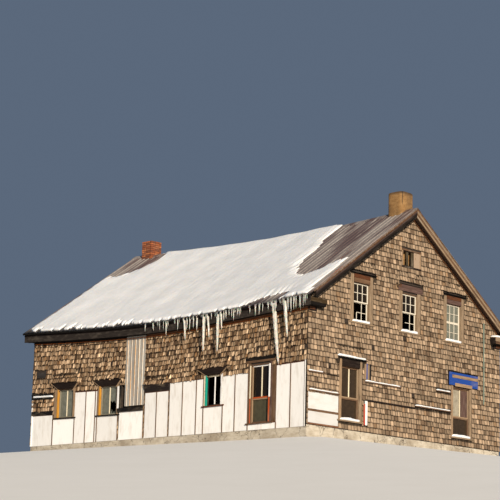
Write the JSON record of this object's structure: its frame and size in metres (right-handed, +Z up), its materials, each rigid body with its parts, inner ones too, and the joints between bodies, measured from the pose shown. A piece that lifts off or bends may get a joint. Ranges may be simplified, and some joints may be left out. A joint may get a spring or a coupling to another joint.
{
  "type": "shingled barn",
  "caption": "Old two-storey wood-shingled barn with a swaybacked ribbed metal roof under snow, a chimney at each end, sash windows and boxed eaves, hollow with floors.",
  "frame": {"origin": "middle of the footprint at the lowest ground level, under the centre of the bounding box", "axes": "X runs along the ridge, with the pictured gable at +X; the pictured long front faces -Y; Z is up"},
  "size_m": [13.71, 10.536, 8.69],
  "materials": {
    "shingles": "weathered grey-tan split shingles, rough and dry",
    "floor_boards": "old unfinished boards",
    "painted_wood": "flaking cream paint over brown wood",
    "dark_trim": "dark weathered boards with orange-brown worn edges",
    "roof_metal": "dull galvanised ribbed sheet with purple-brown rust streaks",
    "snow": "settled snow and ice, matte to slightly glossy",
    "glass": "old dull window glass",
    "plaster": "cream plaster over rubble stone",
    "parged_masonry": "tan mortar skin, cracked and stained",
    "brick": "weathered orange-red brick"
  },
  "bodies": {
    "root": {"foundation": "plaster", "ground_floor": "floor_boards", "loft_floor": "floor_boards", "attic_floor": "floor_boards", "front_wall": "shingles", "back_wall_left": "shingles", "back_wall_right": "shingles", "back_wall_over_doorway": "shingles", "right_gable_wall": "shingles", "left_gable_wall": "shingles", "front_window_1_frame": "painted_wood", "front_window_2_frame": "painted_wood", "front_window_3_frame": "painted_wood", "front_window_4_frame": "painted_wood", "front_window_1_pane": "glass", "front_window_2_pane": "glass", "front_window_4_pane": "glass", "back_window_1_frame": "painted_wood", "back_window_2_frame": "painted_wood", "back_window_3_frame": "painted_wood", "back_window_4_frame": "painted_wood", "back_right_glass": "glass", "back_left_glass": "glass", "right_upper_window_1_frame": "painted_wood", "right_upper_window_2_frame": "painted_wood", "right_upper_window_3_frame": "painted_wood", "right_lower_window_1_frame": "painted_wood", "right_lower_window_2_frame": "painted_wood", "right_upper_window_1_pane": "glass", "right_upper_window_2_pane": "glass", "right_upper_window_3_pane": "glass", "right_lower_window_1_pane": "glass", "right_lower_window_2_pane": "glass", "left_upper_window_1_frame": "painted_wood", "left_upper_window_2_frame": "painted_wood", "left_upper_window_3_frame": "painted_wood", "left_lower_window_1_frame": "painted_wood", "left_lower_window_2_frame": "painted_wood", "left_upper_glass": "glass", "left_lower_glass": "glass", "covered_opening_frame": "painted_wood", "metal_sheet": "roof_metal", "front_roof": "roof_metal", "back_roof": "roof_metal", "ridge_cap": "roof_metal", "right_end_ridge_cap": "roof_metal", "left_end_ridge_cap": "roof_metal", "roof_snow": "snow", "front_cornice": "dark_trim", "back_cornice": "dark_trim", "right_front_rake_boards": "dark_trim", "right_back_rake_boards": "dark_trim", "left_front_rake_boards": "dark_trim", "left_back_rake_boards": "dark_trim", "right_chimney": "parged_masonry", "left_chimney": "brick"}
  },
  "joints": []
}
